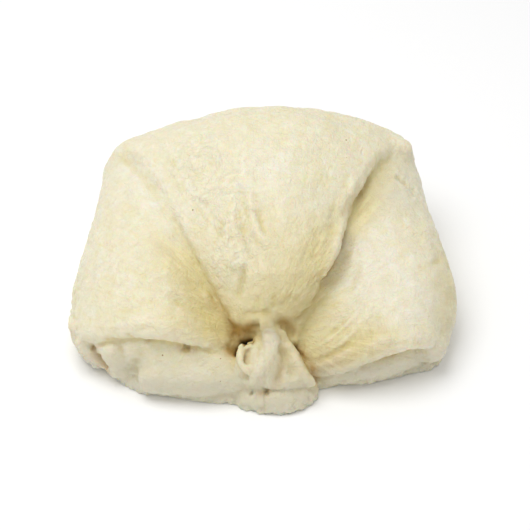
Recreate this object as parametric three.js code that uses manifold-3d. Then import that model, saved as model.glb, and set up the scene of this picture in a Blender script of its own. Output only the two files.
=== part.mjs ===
// A piece of raw yeast dough, rolled out and folded like an envelope. The left and right sides are
// folded in, the front is rolled up, the back is laid over the top, and all of them meet in a
// pinched knot at the front. A thin tongue of the bottom layer sticks out below the knot. The
// folds have grown together, so the whole piece is one solid.
//
// Millimetres. +X right, +Y to the back, +Z up. The origin is at the middle of the flat underside.

import * as THREE from "three";
import { mergeVertices } from "three/addons/utils/BufferGeometryUtils.js";
import Module from "manifold-3d";

// ---- Driving dimensions ---------------------------------------------------------------------

const WIDTH = 94;
const DEPTH = 82;
const HEIGHT = 40;
const SHEET = 5.5; // thickness of the rolled-out dough
const KNOT_SHEET = 4; // thickness of the sheet pinched over the front
const BOTTOM_SHEET = 3.2; // height of the bottom layer's rim
const RIM_ROUND = 1.6; // rounding of that rim
const SUNK = 1.2; // how far the bottom layer reaches down before its underside is cut flat

const ALONG = 22; // steps along a fold, from its root to its tip
const AROUND = 24; // steps round a fold's section
const RIM_SHARE = 0.25; // share of those steps that rounds the two rims
const OUTLINE_STEPS = 60; // steps round the bottom layer

const DOUGH_COLOUR = 0xece3c4;

const wasm = await Module();
wasm.setup();

// ---- Shapes ---------------------------------------------------------------------------------

/** A place in the dough, in per cent of its half width, half depth and height. */
function at(x, y, z) {
  return new THREE.Vector3((x / 200) * WIDTH, (y / 200) * DEPTH, (z / 100) * HEIGHT);
}

function smoothCurve(points) {
  return new THREE.CatmullRomCurve3(points, false, "catmullrom", 0.5);
}

/** A smooth curve through a few numbers, read at a share of its length. */
function profile(...values) {
  const curve = new THREE.SplineCurve(values.map((v, i) => new THREE.Vector2(i, v)));
  return (share) => curve.getPoint(share).y;
}

/** How much of its full section a body keeps at a share of its length: round at both ends. */
function roundEnds(share, sharpness) {
  return Math.sqrt(Math.max(0, 1 - Math.abs(2 * share - 1) ** sharpness));
}

/** Moves every point of a unit sphere: place(share, turn) is given the share of the way from pole
 *  to pole and the share of a full turn round them. */
function mouldSphere(around, along, place) {
  const sphere = new THREE.SphereGeometry(1, around, along);
  sphere.deleteAttribute("normal");
  sphere.deleteAttribute("uv");
  const ball = mergeVertices(sphere, 1e-5);
  const points = ball.getAttribute("position");
  const point = new THREE.Vector3();
  for (let i = 0; i < points.count; i++) {
    point.fromBufferAttribute(points, i);
    const share = Math.acos(THREE.MathUtils.clamp(point.y, -1, 1)) / Math.PI;
    const turn = (Math.atan2(point.z, -point.x) / (2 * Math.PI) + 1) % 1;
    place(share, turn, point);
    points.setXYZ(i, point.x, point.y, point.z);
  }
  return ball;
}

/** Where a turn round a sheet's section lies: across the sheet, on which face, and out of the rim. */
function sheetSection(turn) {
  const side = turn < 0.5 ? 1 : -1;
  const way = (turn % 0.5) * 2;
  const face = 1 - RIM_SHARE;
  if (way < face) return { across: side * ((2 * way) / face - 1), lift: side, out: 0 };
  const angle = (Math.PI * (way - face)) / RIM_SHARE;
  return { across: side, lift: side * Math.cos(angle), out: side * Math.sin(angle) };
}

/** A fold of the sheet: a slab between two edge curves, with round rims. Between its edges it
 *  swells by bulge; lean moves that swelling towards the first edge. */
function fold({ edges, bulge, lean = [0, 0], thickness = SHEET, around = AROUND, along = ALONG }) {
  const [first, second] = edges.map((points) => smoothCurve(points));
  const swell = profile(...bulge);
  const tilt = profile(...lean);
  const step = 1e-3;
  const outward = (share) => {
    const before = Math.max(share - step, 0);
    const after = Math.min(share + step, 1);
    const travel = first.getPoint(after).add(second.getPoint(after));
    travel.sub(first.getPoint(before)).sub(second.getPoint(before));
    const breadth = second.getPoint(share).sub(first.getPoint(share));
    return travel.cross(breadth).normalize();
  };
  const middle = (share, across) => {
    const from = first.getPoint(share);
    const to = second.getPoint(share);
    const inset = Math.max(1 - thickness / from.distanceTo(to), 0.2);
    const rise = (swell(share) - across * tilt(share)) * (1 - across ** 2);
    return from.lerp(to, (1 + across * inset) / 2).addScaledVector(outward(share), rise);
  };
  const facing = (share, across) => {
    const before = Math.max(share - step, 0);
    const after = Math.min(share + step, 1);
    const travel = middle(after, across).sub(middle(before, across));
    const breadth = middle(share, across + step).sub(middle(share, across - step));
    return { normal: travel.cross(breadth).normalize(), breadth: breadth.normalize() };
  };
  return mouldSphere(around, along, (share, turn, point) => {
    const { across, lift, out } = sheetSection(turn);
    const kept = roundEnds(share, 8);
    const { normal, breadth } = facing(share, across * kept);
    const half = (thickness / 2) * kept;
    point.copy(middle(share, across * kept));
    point.addScaledVector(normal, half * lift);
    point.addScaledVector(breadth, half * out);
  });
}

/** A roll of dough along a curve, with an upright oval section. */
function roll({ spine, breadth, height, around = 14, along = 14, sharpness = 3 }) {
  const curve = smoothCurve(spine);
  const halfBreadth = profile(...breadth);
  const halfHeight = profile(...height);
  const up = new THREE.Vector3(0, 0, 1);
  return mouldSphere(around, along, (share, turn, point) => {
    const kept = roundEnds(share, sharpness);
    const angle = turn * 2 * Math.PI;
    const travel = curve.getTangent(share);
    const side = travel.clone().cross(up).normalize();
    const rise = side.clone().cross(travel).normalize();
    point.copy(curve.getPoint(share));
    point.addScaledVector(side, halfBreadth(share) * kept * Math.cos(angle));
    point.addScaledVector(rise, halfHeight(share) * kept * Math.sin(angle));
  });
}

// ---- The folds --------------------------------------------------------------------------------

function leftFold() {
  return fold({
    edges: [
      [at(-76, -41, 5), at(-89, -55, 9), at(-90, -61, 21), at(-73, -73, 39), at(-50, -79, 45),
        at(-33, -79, 36), at(-17, -75, 25), at(-4, -64, 10)],
      [at(-60, 73, 5), at(-74, 76, 15), at(-79, 74, 40), at(-74, 68, 63), at(-52, 47, 67),
        at(-31, 8, 59), at(-15, -29, 38), at(-4, -53, 10)],
    ],
    bulge: [0, 1, 1.6, 2.2, 3, 1.5, 0, -0.5],
    lean: [0, 2, 2.6, 1, 0, 0, 0, 0],
  });
}

function rightFold() {
  return fold({
    edges: [
      [at(60, 73, 5), at(74, 76, 15), at(79, 74, 40), at(75, 68, 63), at(50, 43, 66),
        at(32, 4, 55), at(17, -33, 40), at(8, -55, 15)],
      [at(76, -41, 5), at(91, -55, 9), at(91, -62, 19), at(78, -74, 32), at(62, -80, 31),
        at(47, -81, 23), at(31, -80, 13), at(14, -74, 8)],
    ],
    bulge: [0, 1.5, 3.4, 2.8, 2, 1.5, 1, 0.5],
    lean: [0, -3, -3.4, -2, -0.5, 0, 0, 0],
  });
}

function backFold() {
  return fold({
    edges: [
      [at(-66, 78, 3), at(-76, 84, 17), at(-81, 82, 42), at(-81, 62, 66), at(-68, 48, 74),
        at(-55, 21, 73), at(-44, -7, 69), at(-31, -34, 59), at(-20, -56, 42), at(-14, -61, 32)],
      [at(66, 78, 3), at(76, 84, 17), at(84, 83, 46), at(82, 69, 68), at(66, 48, 75),
        at(53, 20, 75), at(44, -4, 71), at(36, -31, 64), at(27, -49, 49), at(13, -61, 34)],
    ],
    bulge: [2, 3, 4.6, 7.9, 7.3, 6, 4.5, 4, 4, 3],
    lean: [0, -1, -1.4, -1.2, -0.6, 0, 0, 0, 0, 0],
  });
}

function frontRoll() {
  return roll({
    spine: [at(-63, -74, 13), at(-46, -77, 14), at(-24, -78, 14), at(2, -80, 15)],
    breadth: [5, 5.5, 5.2, 4],
    height: [5, 5.6, 5.2, 4],
    sharpness: 7,
  });
}

function innerLayer() {
  return roll({
    spine: [at(-74, -46, 24), at(-58, -52, 26), at(-36, -54, 26), at(-14, -56, 21)],
    breadth: [6, 8, 8, 6],
    height: [5.5, 6.5, 6.5, 5.5],
    sharpness: 5,
  });
}

function outerWrap() {
  return roll({
    spine: [at(-88, -35, 19), at(-90, -47, 14), at(-86, -55, 10), at(-77, -62, 5)],
    breadth: [2.6, 3, 3, 2.6],
    height: [3, 3.6, 3.6, 3],
    sharpness: 4,
  });
}

function wedge() {
  return roll({
    spine: [at(-76, -45, 32), at(-76, -59, 28), at(-74, -66, 17), at(-68, -70, 4)],
    breadth: [3.4, 3.6, 3.6, 3.2],
    height: [4, 4.5, 4.5, 3],
    sharpness: 4,
  });
}

/** The dough that fills the inside: under the back fold, inside each fold, and at the front. */
function insideDough() {
  const everywhere = { around: 12, along: 10, sharpness: 8 };
  return [
    {
      spine: [at(-70, 25, 33), at(-38, 25, 35), at(0, 25, 40), at(38, 25, 35), at(70, 25, 33)],
      breadth: [24, 25, 25, 25, 24],
      height: [11, 15.5, 19.5, 15.5, 11],
      sharpness: 6,
    },
    {
      spine: [at(-71, -46, 20), at(-72, -12, 24), at(-71, 24, 28), at(-68, 72, 30)],
      breadth: [6, 7, 7.5, 7.5],
      height: [7.5, 9.5, 11.5, 13.5],
    },
    {
      spine: [at(73, -44, 18), at(74, -12, 23), at(72, 24, 28), at(69, 72, 30)],
      breadth: [6.5, 7.5, 7, 6.5],
      height: [7, 9.5, 11.5, 13.5],
    },
    {
      spine: [at(-70, 66, 33), at(-30, 69, 38), at(0, 71, 40), at(30, 69, 38), at(70, 66, 33)],
      breadth: [7, 8.5, 9, 8.5, 7],
      height: [13, 15.5, 16.5, 15.5, 13],
    },
    {
      spine: [at(-66, -34, 21), at(-30, -34, 23), at(30, -34, 21), at(66, -32, 21)],
      breadth: [6.5, 7, 7, 7],
      height: [8, 8.5, 7.5, 7.5],
    },
    {
      spine: [at(18, -52, 14), at(42, -52, 16), at(64, -50, 18), at(80, -44, 16)],
      breadth: [5, 7.5, 8, 6],
      height: [4.5, 5.5, 6.5, 5.5],
    },
  ].map((shape) => roll({ ...everywhere, ...shape }));
}

function underRightFold() {
  return roll({
    spine: [at(84, -49, 14), at(70, -62, 16), at(48, -68, 11), at(24, -72, 7)],
    breadth: [4.5, 4.8, 4.2, 3],
    height: [5, 5.5, 4.5, 2.5],
    sharpness: 4,
  });
}

function pinch() {
  return roll({
    spine: [at(2, -20, 32), at(3, -44, 27), at(4, -60, 24), at(4, -74, 23)],
    breadth: [6, 5, 3.4, 3.4],
    height: [8, 7, 5.5, 5],
    sharpness: 5,
  });
}

function knot() {
  return fold({
    edges: [
      [at(-2, -55, 38), at(-4, -70, 34), at(-7, -80, 25), at(-9, -88, 11)],
      [at(7, -55, 38), at(13, -70, 34), at(22, -77, 23), at(30, -86, 11)],
    ],
    bulge: [0.5, 2, 2.5, 1.5],
    thickness: KNOT_SHEET,
    around: 16,
    along: 14,
  });
}

function curl() {
  return roll({
    spine: [at(-2, -72, 38), at(-7, -78, 34), at(-9, -83, 28), at(-5, -86, 20)],
    breadth: [1.5, 1.8, 2, 1.8],
    height: [1.5, 1.8, 2, 1.8],
    around: 10,
    along: 10,
  });
}

/** The bottom layer, cut to its outline and rounded at its rim. */
function bottomLayer() {
  const corners = [
    [-94, -50], [-82, -60], [-71, -72], [-61, -80], [-46, -84], [-27, -88], [-9, -90],
    [0, -93], [8, -97], [15, -97], [22, -91], [28, -83], [31, -76], [60, -71], [80, -64],
    [95, -49], [86, 20], [72, 80], [0, 84], [-72, 80], [-84, 20],
  ];
  const ring = [...corners, corners[0]].map(([x, y]) => at(x, y, 0));
  const curve = new THREE.SplineCurve(ring.map(({ x, y }) => new THREE.Vector2(x, y)));
  const outline = new THREE.Shape(curve.getPoints(OUTLINE_STEPS).slice(0, -1));
  const layer = new THREE.ExtrudeGeometry(outline, {
    depth: BOTTOM_SHEET + SUNK - 2 * RIM_ROUND,
    bevelThickness: RIM_ROUND,
    bevelSize: RIM_ROUND,
    bevelOffset: -RIM_ROUND,
    bevelSegments: 3,
    curveSegments: 1,
  });
  return layer.translate(0, 0, RIM_ROUND - SUNK);
}

// ---- Joining ----------------------------------------------------------------------------------

function solidOf(geometry) {
  geometry.deleteAttribute("normal");
  geometry.deleteAttribute("uv");
  const merged = mergeVertices(geometry, 1e-4);
  return new wasm.Manifold(
    new wasm.Mesh({
      numProp: 3,
      vertProperties: merged.getAttribute("position").array,
      triVerts: new Uint32Array(merged.index.array),
    }),
  );
}

function geometryOf(solid) {
  const mesh = solid.getMesh();
  return new THREE.BufferGeometry()
    .setAttribute("position", new THREE.BufferAttribute(mesh.vertProperties, 3))
    .setIndex(new THREE.BufferAttribute(mesh.triVerts, 1));
}

/** Brings the piece to its overall size, with its underside centred on the origin. */
function toSize(geometry) {
  geometry.computeBoundingBox();
  const size = geometry.boundingBox.getSize(new THREE.Vector3());
  const centre = geometry.boundingBox.getCenter(new THREE.Vector3());
  geometry.translate(-centre.x, -centre.y, -geometry.boundingBox.min.z);
  return geometry.scale(WIDTH / size.x, DEPTH / size.y, HEIGHT / size.z);
}

const joined = [
  leftFold(),
  rightFold(),
  backFold(),
  frontRoll(),
  innerLayer(),
  outerWrap(),
  wedge(),
  ...insideDough(),
  underRightFold(),
  pinch(),
  knot(),
  curl(),
  bottomLayer(),
]
  .map((geometry) => solidOf(geometry))
  .reduce((whole, piece) => whole.add(piece));

const belowTable = new THREE.BoxGeometry(2 * WIDTH, 2 * DEPTH, HEIGHT);
belowTable.translate(0, 0, -HEIGHT / 2);
const resting = joined.subtract(solidOf(belowTable));
const [whole] = resting.decompose().sort((one, other) => other.volume() - one.volume());

const dough = new THREE.Mesh(
  toSize(geometryOf(whole)),
  new THREE.MeshStandardMaterial({ color: DOUGH_COLOUR, roughness: 0.55, metalness: 0 }),
);
dough.name = "dough";

const group = new THREE.Group();
group.add(dough);
export default group;
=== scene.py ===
"""A piece of raw dough, folded like an envelope and pinched into a knot at the front.

The piece starts from the frame's own solid. Small lobes of dough are kneaded onto it, the whole is
remeshed finely, and then worked like clay: lumps, pleats, pull wrinkles that run to the pinch, torn
bits and ragged rims. What the hand leaves behind (how deep a spot lies in a fold, and how strongly
it is pulled) is written to the mesh as attributes, and the dough's material reads them. With
patches that are written there too, the material paints shade into the folds and around the pinch,
and highlights onto some lit places.
"""

import enum
import logging
import math
from collections.abc import Sequence
from dataclasses import dataclass

import bmesh
import bpy
import numpy as np
from mathutils import Matrix, Vector, noise
from mathutils.bvhtree import BVHTree


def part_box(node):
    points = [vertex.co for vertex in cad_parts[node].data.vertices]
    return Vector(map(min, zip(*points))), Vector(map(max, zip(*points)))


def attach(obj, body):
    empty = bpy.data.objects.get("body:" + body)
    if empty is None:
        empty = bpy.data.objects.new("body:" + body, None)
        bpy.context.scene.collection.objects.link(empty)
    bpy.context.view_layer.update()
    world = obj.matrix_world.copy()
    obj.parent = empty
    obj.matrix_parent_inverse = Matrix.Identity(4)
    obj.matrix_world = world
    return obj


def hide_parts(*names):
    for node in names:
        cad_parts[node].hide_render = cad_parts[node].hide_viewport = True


logging.basicConfig(level=logging.INFO, format="%(message)s")
log = logging.getLogger("dough")

NODE = "dough"
PIECE = "dough_parcel"
MM = 0.001

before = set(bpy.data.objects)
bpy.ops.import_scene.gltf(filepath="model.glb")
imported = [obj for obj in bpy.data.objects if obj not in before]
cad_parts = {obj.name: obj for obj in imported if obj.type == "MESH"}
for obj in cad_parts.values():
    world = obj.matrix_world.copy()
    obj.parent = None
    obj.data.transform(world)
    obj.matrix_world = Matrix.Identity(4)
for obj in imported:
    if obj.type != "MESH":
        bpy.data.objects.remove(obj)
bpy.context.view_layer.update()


# ---- Places on the piece ------------------------------------------------------------------------

Spot = tuple[float, float, float]
Span = tuple[float, float]


@dataclass(frozen=True)
class Extent:
    """The box of the frame's solid, which every place on the piece is given in."""

    low: Vector
    high: Vector

    def at(self, x: float, y: float, z: float) -> Vector:
        """A place in the box, in metres.

        Args:
            x: per cent of the half width, from the middle to the right.
            y: per cent of the half depth, from the middle to the back.
            z: per cent of the height.

        Returns:
            The place in the shared frame.
        """
        half = (self.high - self.low) / 2
        middle = (self.high + self.low) / 2
        height = self.high.z - self.low.z
        return Vector((
            middle.x + half.x * x / 100,
            middle.y + half.y * y / 100,
            self.low.z + height * z / 100,
        ))


EXTENT = Extent(*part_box(NODE))


# ---- Dough that is pressed on -------------------------------------------------------------------


@dataclass(frozen=True)
class Lobe:
    """An egg of dough pressed onto the piece: its middle, and its three radii in millimetres."""

    place: Spot
    radii: Spot

    def add_to(self, bm: bmesh.types.BMesh) -> None:
        """Adds the lobe.

        Args:
            bm: the shapes that will be melted together.
        """
        sized = Matrix.Diagonal((*(radius * MM for radius in self.radii), 1))
        placed = Matrix.Translation(EXTENT.at(*self.place))
        bmesh.ops.create_icosphere(bm, subdivisions=4, radius=1, matrix=placed @ sized)


BEAD_STEP = 0.3  # the way between two beads of a rope, as a share of their radius


@dataclass(frozen=True)
class Rope:
    """A rope of dough along a line of places, each with its radius in millimetres."""

    places: Sequence[Spot]
    radii: Sequence[float]

    def add_to(self, bm: bmesh.types.BMesh) -> None:
        """Adds the rope, as a row of overlapping beads.

        Args:
            bm: the shapes that will be melted together.
        """
        line = [EXTENT.at(*place) for place in self.places]
        for (start, thick), (end, thin) in zip(
            zip(line, self.radii), zip(line[1:], self.radii[1:])
        ):
            step = BEAD_STEP * min(thick, thin) * MM
            beads = max(2, round((end - start).length / step))
            for bead in range(beads + 1):
                share = bead / beads
                radius = (thick + (thin - thick) * share) * MM
                sized = Matrix.Diagonal((radius, radius, radius, 1))
                placed = Matrix.Translation(start.lerp(end, share))
                bmesh.ops.create_icosphere(bm, subdivisions=2, radius=1, matrix=placed @ sized)


# ---- Strokes of the hand ------------------------------------------------------------------------


class Reach(enum.Enum):
    """Which way a stroke moves the surface."""

    RIDGE = 1.0
    GROOVE = -1.0


@dataclass(frozen=True)
class Stroke:
    """One pass of a finger, or one pleat, along the surface, in millimetres.

    The taper is the share of its length over which it fades in and out; 0 leaves its ends round.
    """

    points: Sequence[Spot]
    reach: Reach
    width: float
    height: float
    taper: float = 0.5

    def weights(self, places: np.ndarray) -> np.ndarray:
        """How strongly the stroke touches each place.

        Args:
            places: the mesh's points, in millimetres.

        Returns:
            One number from 0 to 1 for each place.
        """
        line = [np.array(EXTENT.at(*point)) / MM for point in self.points]
        far = 3 * self.width
        near = np.all(
            (places > np.min(line, axis=0) - far) & (places < np.max(line, axis=0) + far), axis=1
        )
        close = places[near]
        total = sum(float(np.linalg.norm(b - a)) for a, b in zip(line, line[1:]))
        best = np.full(len(close), np.inf)
        along = np.zeros(len(close))
        done = 0.0
        for start, end in zip(line, line[1:]):
            length = float(np.linalg.norm(end - start))
            way = (end - start) / length
            reached = np.clip((close - start) @ way, 0, length)
            away = np.linalg.norm(close - start - reached[:, None] * way, axis=1)
            nearer = away < best
            best = np.where(nearer, away, best)
            along = np.where(nearer, (done + reached) / total, along)
            done += length
        found = np.zeros(len(places))
        found[near] = np.exp(-((best / self.width) ** 2))
        if self.taper:
            fade = np.clip(np.minimum(along, 1 - along) / (self.taper / 2), 0, 1)
            found[near] *= fade * (2 - fade)
        return found

    def amounts(self, places: np.ndarray) -> np.ndarray:
        """How far each place moves along its normal.

        Args:
            places: the mesh's points, in millimetres.

        Returns:
            One signed length in millimetres for each place.
        """
        return self.reach.value * self.height * self.weights(places)


def patch(points: Sequence[Spot], width: float, amount: float) -> Stroke:
    """A patch with soft edges and round ends.

    Args:
        points: the line that it lies along.
        width: how far it reaches to each side, in millimetres.
        amount: how strong it is.

    Returns:
        The patch.
    """
    return Stroke(points, Reach.RIDGE, width, amount, taper=0)


@dataclass(frozen=True)
class Fan:
    """Many thin pleats that fill the surface between a few guide lines.

    Each pair of numbers is the least and the most that chance may give a pleat, as a share: its
    place in its own slot, its width and its height.
    """

    guides: Sequence[Sequence[Spot]]
    count: int
    width: float
    height: float
    seed: int
    slot: Span = (0.1, 0.9)
    widths: Span = (0.7, 1.4)
    heights: Span = (0.4, 1.2)
    grooves: float = 0.6
    shortest: float = 1.5
    points: int = 5
    taper: float = 0.8

    def strokes(self) -> list[Stroke]:
        """Lays out the pleats, each between two guides and each a little different.

        Returns:
            The pleats.
        """
        chance = np.random.default_rng(self.seed)
        guides = np.array(self.guides, dtype=float)
        made = []
        for i in range(self.count):
            share = (i + chance.uniform(*self.slot)) / self.count * (len(guides) - 1)
            low = min(int(share), len(guides) - 2)
            line = guides[low] + (guides[low + 1] - guides[low]) * (share - low)
            first, last = sorted(chance.uniform(0, len(line) - 1, 2))
            if last - first < self.shortest:
                first, last = max(0.0, first - 1), min(len(line) - 1.0, last + 1)
            points = [
                tuple(np.interp(step, range(len(line)), line[:, axis]) for axis in range(3))
                for step in np.linspace(first, last, self.points)
            ]
            made.append(Stroke(
                points,
                Reach.GROOVE if chance.random() < self.grooves else Reach.RIDGE,
                self.width * chance.uniform(*self.widths),
                self.height * chance.uniform(*self.heights),
                self.taper,
            ))
        return made


# ---- The clay that is worked --------------------------------------------------------------------


class Field(enum.Enum):
    """The random fields that shape the skin, each with the seed that picks it."""

    LUMPS = 3.0
    DENTS = 4.0
    FOLDS = 5.0
    GRAIN = 7.0
    SWAY = 8.0
    RAGGED = 9.0
    VEINS = 10.0


SHRINK = 0.5  # how far a smoothing turn moves a point towards its neighbours' mean
SWELL = -0.52  # and how far the next turn moves it back
SEED_STEP = np.array((17.3, 5.1, 9.7))  # how far apart the fields of two seeds lie
ROUGHNESS = 1.0  # how fast a field's finer layers fade
FINER = 2.0  # how much finer each of them is


class Clay:
    """A closed mesh that is worked by moving its points along their normals."""

    def __init__(self, mesh: bpy.types.Mesh) -> None:
        """Takes hold of a mesh.

        Args:
            mesh: the mesh, in metres.
        """
        self.mesh = mesh
        count = len(mesh.vertices)
        flat = np.empty(count * 3)
        mesh.vertices.foreach_get("co", flat)
        self.places = flat.reshape(-1, 3) / MM
        edges = np.empty(len(mesh.edges) * 2, dtype=np.int64)
        mesh.edges.foreach_get("vertices", edges)
        self.edges = edges.reshape(-1, 2)
        self.degree = np.bincount(self.edges.ravel(), minlength=count)

    def store(self) -> None:
        """Writes the points back to the mesh."""
        self.mesh.vertices.foreach_set("co", (self.places * MM).ravel())
        self.mesh.update()

    def normals(self) -> np.ndarray:
        """The outward normal at each point.

        Returns:
            One row of three numbers for each point.
        """
        self.store()
        flat = np.empty(len(self.places) * 3)
        self.mesh.vertices.foreach_get("normal", flat)
        return flat.reshape(-1, 3)

    def around(self, values: np.ndarray) -> np.ndarray:
        """The mean of each point's neighbours.

        Args:
            values: one row of numbers for each point.

        Returns:
            One row of means for each point.
        """
        one, other = self.edges.T
        columns = values.reshape(len(values), -1)
        means = np.empty_like(columns)
        for i, column in enumerate(columns.T):
            total = np.bincount(one, column[other], len(column))
            total += np.bincount(other, column[one], len(column))
            means[:, i] = total / self.degree
        return means.reshape(values.shape)

    def spread(self, values: np.ndarray, times: int) -> np.ndarray:
        """Averages a value over each point's neighbours, again and again.

        Args:
            values: one number for each point.
            times: how many times.

        Returns:
            The softened numbers.
        """
        for _ in range(times):
            values = (values + self.around(values)) / 2
        return values

    def relax(self, times: int) -> None:
        """Smooths the surface, in turns that shrink it and swell it, so it keeps its size.

        Args:
            times: how many rounds.
        """
        for factor in (SHRINK, SWELL) * times:
            self.places = self.places + factor * (self.around(self.places) - self.places)

    def even_out(self, times: int, limit: float) -> None:
        """Smooths away broad flats and shallow steps, and leaves the deep creases and the rims.

        Args:
            times: how many rounds.
            limit: a point that would move further than this, in millimetres, is left alone.
        """
        before = self.places
        self.relax(times)
        away = np.linalg.norm(self.places - before, axis=1)
        share = self.spread(np.clip(2 - 2 * away / limit, 0, 1), 2)[:, None]
        self.places = before + share * (self.places - before)

    def soften(self, area: Stroke, times: int) -> None:
        """Smooths the surface only in one area.

        Args:
            area: where, and how strongly, from 0 to 1.
            times: how many rounds.
        """
        weights = area.amounts(self.places)[:, None]
        for _ in range(times):
            self.places = self.places + weights * (self.around(self.places) - self.places)

    def push(self, amounts: np.ndarray) -> None:
        """Moves each point along its normal.

        Args:
            amounts: how far, in millimetres.
        """
        self.places = self.places + self.normals() * amounts[:, None]

    def stroke(self, strokes: Sequence[Stroke]) -> None:
        """Moves the surface along a set of strokes, all at once.

        Args:
            strokes: the strokes.
        """
        self.push(sum(stroke.amounts(self.places) for stroke in strokes))

    def texture(self, size: float, field: Field, octaves: int = 2) -> np.ndarray:
        """A smooth random field through space, about -1 to 1.

        Args:
            size: the size of its lumps, in millimetres.
            field: which field.
            octaves: how many finer fields are added to the first.

        Returns:
            Its value at each point.
        """
        return self.noise_at(self.places / size + field.value * SEED_STEP, octaves)

    @staticmethod
    def noise_at(spots: np.ndarray, octaves: int = 2) -> np.ndarray:
        """The random field's value at any spots.

        Args:
            spots: one row of three numbers for each spot.
            octaves: how many finer fields are added to the first.

        Returns:
            One value for each spot.
        """
        return np.array([
            noise.fractal(Vector(spot), ROUGHNESS, FINER, octaves) for spot in spots
        ])


@dataclass(frozen=True)
class Mask:
    """Patches of the surface that are treated alike.

    The rounds say how often the mask is averaged, and so how soft its edges are.
    """

    name: str
    rounds: int
    patches: Sequence[Stroke]

    def amounts(self, clay: Clay) -> np.ndarray:
        """The patches' sum at each point, with sharp edges."""
        return sum(area.amounts(clay.places) for area in self.patches)

    def shade(self, clay: Clay) -> np.ndarray:
        """One number from 0 to 1 for each point, with soft edges."""
        return clay.spread(np.clip(self.amounts(clay), 0, 1), self.rounds)


# ---- The pull to the pinch ----------------------------------------------------------------------


@dataclass(frozen=True)
class Pull:
    """How the skin is drawn to the pinch, with one number of each kind for each point.

    The angle goes around the pinch, in radians. The way is the logarithm of the distance to it in
    millimetres. The strength goes from 0 to 1.
    """

    angle: np.ndarray
    way: np.ndarray
    strength: np.ndarray

    def spots(self, across: np.ndarray, length: float, layer: np.ndarray | float) -> np.ndarray:
        """Spots for a random field that is drawn out along the lines to the pinch.

        Args:
            across: the place across the lines.
            length: how long the field's lumps are along the lines.
            layer: the third number of each spot.

        Returns:
            One row of three numbers for each point.
        """
        return np.stack([across, self.way / length, 0 * self.way + layer], axis=1)


@dataclass(frozen=True)
class Pinch:
    """The spot that all the skin is drawn to, in millimetres and radians.

    The pull is strongest on a ring around the spot, and fades from there. The back fold, which
    lies above the spot in a narrow sector, and the left fold feel only a share of it.
    """

    place: Spot = (0, -73, 41)
    heart: float = 3.0
    ring: float = 14.0
    fade: float = 22.0
    sector: Span = (1.25, 0.5)
    back_start: float = 4.0
    back_rise: float = 8.0
    back_sector: Span = (1.4, 1.6)
    back_loss: float = 0.75
    left_share: float = 0.55

    @staticmethod
    def within(sector: Span, angle: np.ndarray) -> np.ndarray:
        """How far each angle is inside a sector.

        Args:
            sector: the value at its middle, and how much that falls for each radian.
            angle: the angles.

        Returns:
            One number from 0, outside, to 1 for each angle.
        """
        middle, slope = sector
        return np.clip(middle - np.abs(angle) * slope, 0, 1)

    def pull(self, clay: Clay) -> Pull:
        """How each point lies towards the pinch.

        Args:
            clay: the piece.

        Returns:
            The pull on each point.
        """
        away = clay.places - np.array(EXTENT.at(*self.place)) / MM
        up = (away[:, 1] + away[:, 2]) / math.sqrt(2)
        angle = np.arctan2(away[:, 0], up)
        distance = np.linalg.norm(away, axis=1)
        above = np.clip((away[:, 2] - self.back_start) / self.back_rise, 0, 1)
        on_back = above * self.within(self.back_sector, angle)
        strength = np.exp(-(((distance - self.ring) / self.fade) ** 2))
        strength = strength * self.within(self.sector, angle)
        strength = strength * (1 - self.back_loss * on_back)
        strength = strength * np.where(angle < 0, self.left_share, 1)
        return Pull(angle, np.log(distance + self.heart), strength)


@dataclass(frozen=True)
class Wrinkles:
    """Uneven wrinkles that run to the pinch.

    Their width is in radians, their height in millimetres and their length in steps of the way.
    The layer picks a slice of the random field. Their strength differs from place to place by the
    unevenness (its mean and its swing), within the limits.
    """

    width: float
    height: float
    layer: float
    length: float = 0.55
    sway: float = 0.12
    sharpness: float = 3.0
    deepest: float = -0.6
    unevenness: Span = (0.7, 1.4)
    limits: Span = (0.15, 1.3)

    def amounts(self, pull: Pull, sway: np.ndarray) -> np.ndarray:
        """How far each point moves along its normal.

        Args:
            pull: how the skin is drawn.
            sway: a slow random field that bends the wrinkles.

        Returns:
            One signed length in millimetres for each point.
        """
        across = (pull.angle + self.sway * sway) / self.width
        found = Clay.noise_at(pull.spots(across, self.length, self.layer))
        ridged = np.clip(1 - self.sharpness * np.abs(found), self.deepest, 1)
        mean, swing = self.unevenness
        return self.height * pull.strength * ridged * np.clip(mean + swing * sway, *self.limits)


@dataclass(frozen=True)
class Relief:
    """The skin's small dents, veins, folds and grain, in millimetres.

    The veins run to the pinch: their width is in radians and their length in steps of the way.
    The grain is stronger on the sides than on top.
    """

    sway_size: float = 9.0
    dent_size: float = 5.0
    dent_height: float = 0.22
    vein_width: float = 0.055
    vein_length: float = 0.16
    vein_layer: float = 4.2
    vein_sway_size: float = 5.0
    vein_sway: float = 2.2
    vein_sharpness: float = 5.0
    vein_height: float = 0.26
    fold_size: float = 3.6
    fold_middle: float = 0.5
    fold_sharpness: float = 2.0
    fold_height: float = 0.12
    creased_everywhere: float = 0.12
    grain_size: float = 1.4
    grain_height: float = 0.07
    side_grain_height: float = 0.16
    ragged_size: float = 1.5
    ragged_octaves: int = 3


# ---- The piece ----------------------------------------------------------------------------------


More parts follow.
